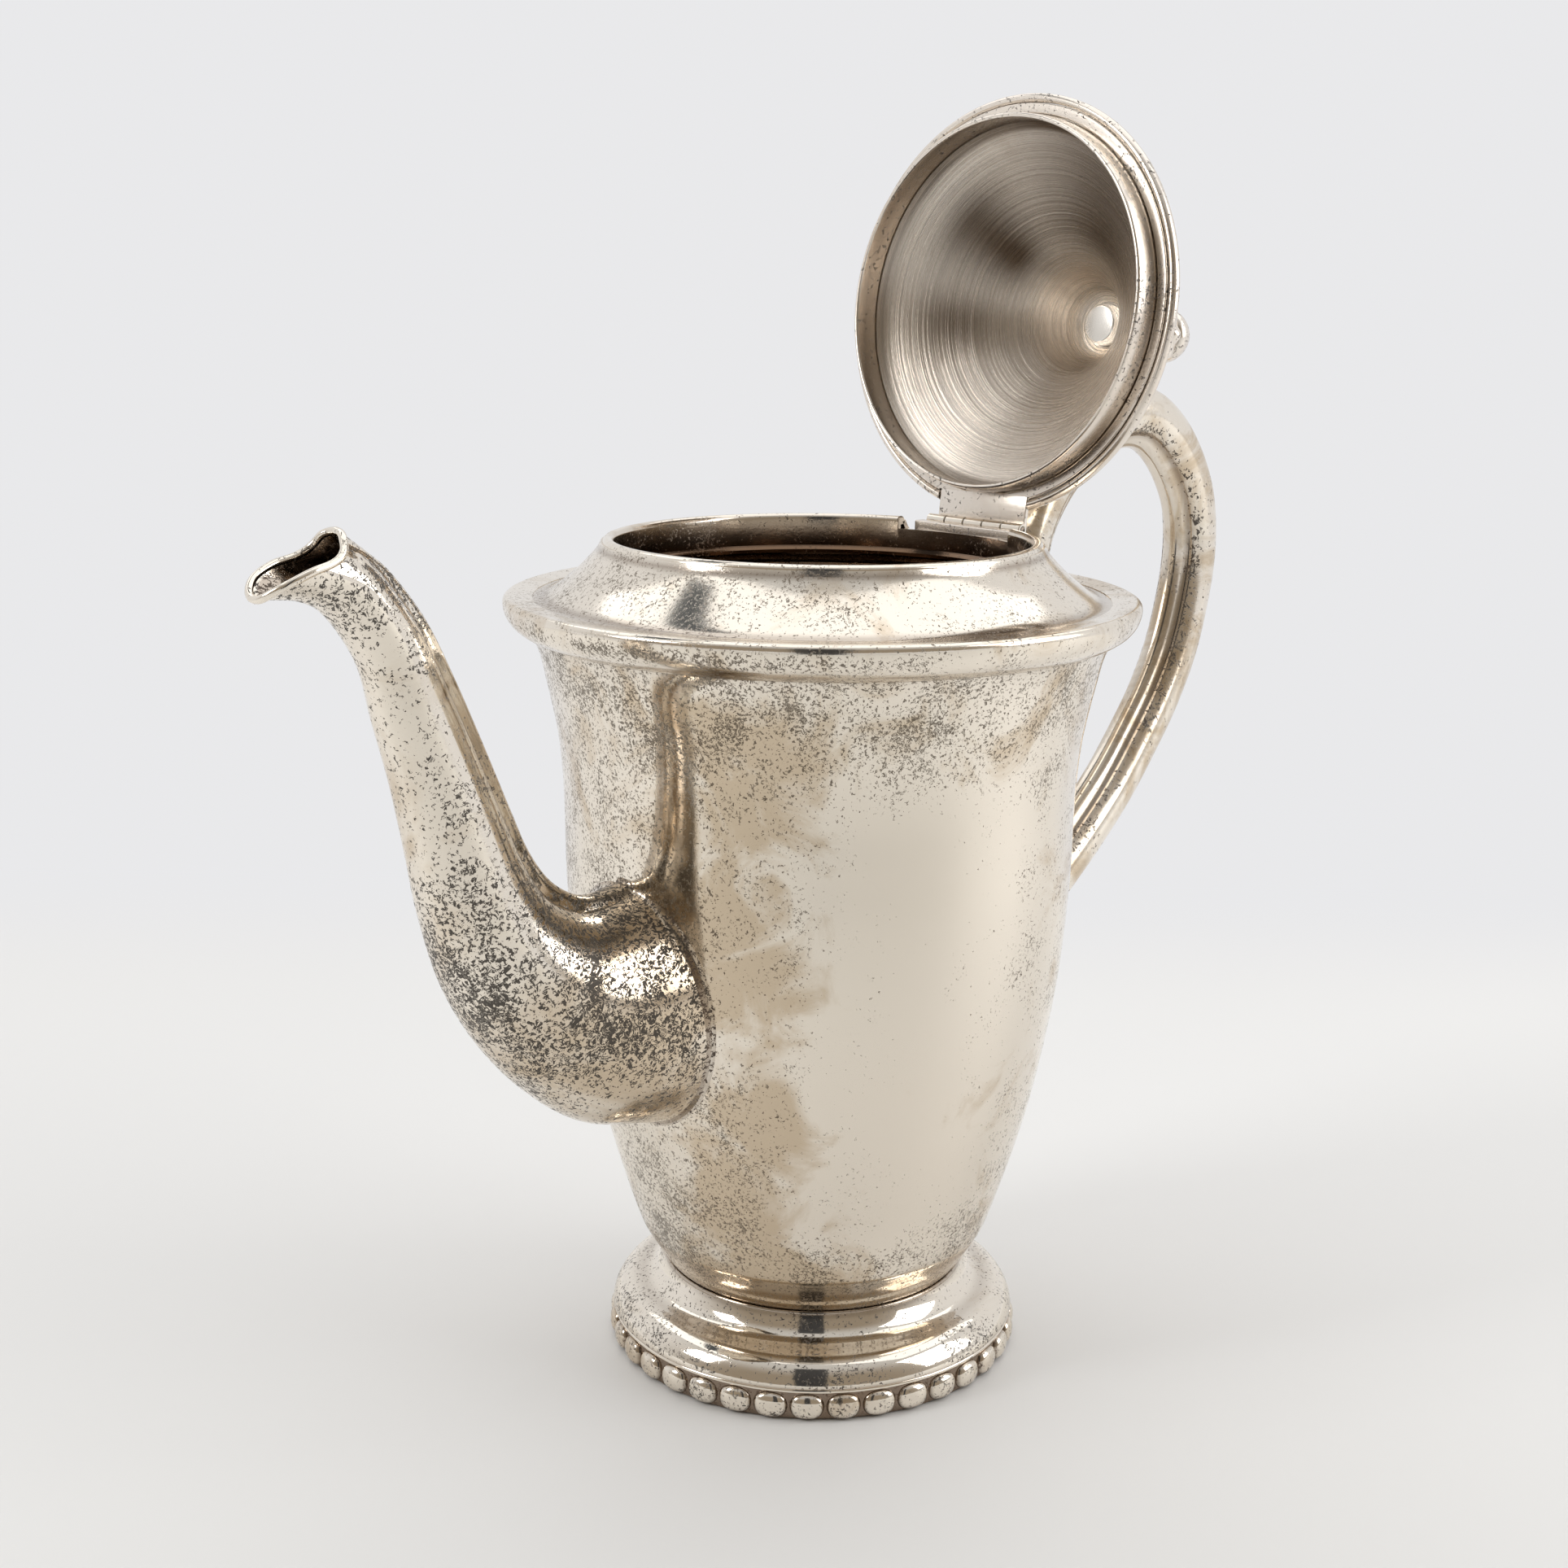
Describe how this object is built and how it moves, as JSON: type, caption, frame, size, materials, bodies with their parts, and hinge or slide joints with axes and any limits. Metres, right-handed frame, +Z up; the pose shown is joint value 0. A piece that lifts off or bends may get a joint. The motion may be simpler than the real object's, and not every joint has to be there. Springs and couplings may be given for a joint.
{
  "type": "coffee pot",
  "caption": "Flared round metal coffee pot with a domed hinged lid standing open, a curved ribbed spout, a loop handle, a flat shoulder flange and a beaded foot.",
  "frame": {"origin": "on the table plane, under the vertical axis that the body, neck and foot are turned about", "axes": "+Z up; the spout points to -X, the handle and the lid hinge are to +X; Y runs across the pot along the hinge pin"},
  "size_m": [0.2561, 0.1258, 0.2554],
  "materials": {
    "polished_silver": "polished, with fine wiping marks",
    "aged_silver": "tarnished",
    "spun_silver": "satin, spun",
    "cast_silver": "cast and burnished",
    "hinge_pin_steel": "plain"
  },
  "bodies": {
    "pot": {"body_shell": "polished_silver", "neck_cone": "polished_silver", "neck_collar": "polished_silver", "shoulder_moulding": "polished_silver", "foot_shell": "aged_silver", "foot_joint_wire": "polished_silver", "foot_rim_wire": "polished_silver", "foot_stand_ring": "aged_silver", "foot_bead_border": "cast_silver", "spout_half_left": "polished_silver", "spout_half_right": "polished_silver", "spout_lip_wire": "polished_silver", "handle_half_left": "polished_silver", "handle_half_right": "polished_silver", "handle_upper_plate": "cast_silver", "handle_lower_plate": "cast_silver", "hinge_pot_leaf": "polished_silver", "hinge_knuckle_1_pot": "polished_silver", "hinge_knuckle_3_pot": "polished_silver", "hinge_knuckle_5_pot": "polished_silver", "hinge_pin": "hinge_pin_steel"},
    "lid": {"lid_dome": "spun_silver", "lid_rim_plate": "polished_silver", "lid_edge_wire": "cast_silver", "lid_bezel": "polished_silver", "finial_cup": "cast_silver", "finial_bud": "cast_silver", "finial_nut": "aged_silver", "finial_stud": "hinge_pin_steel", "hinge_lid_leaf": "polished_silver", "hinge_knuckle_2_lid": "polished_silver", "hinge_knuckle_4_lid": "polished_silver"}
  },
  "joints": [
    {"name": "lid_hinge", "type": "hinge", "parent": "pot", "child": "lid", "pos_m": [0.0456, 0, 0.1676], "axis": [0, 1, 0], "range_deg": [-97, 0]}
  ]
}
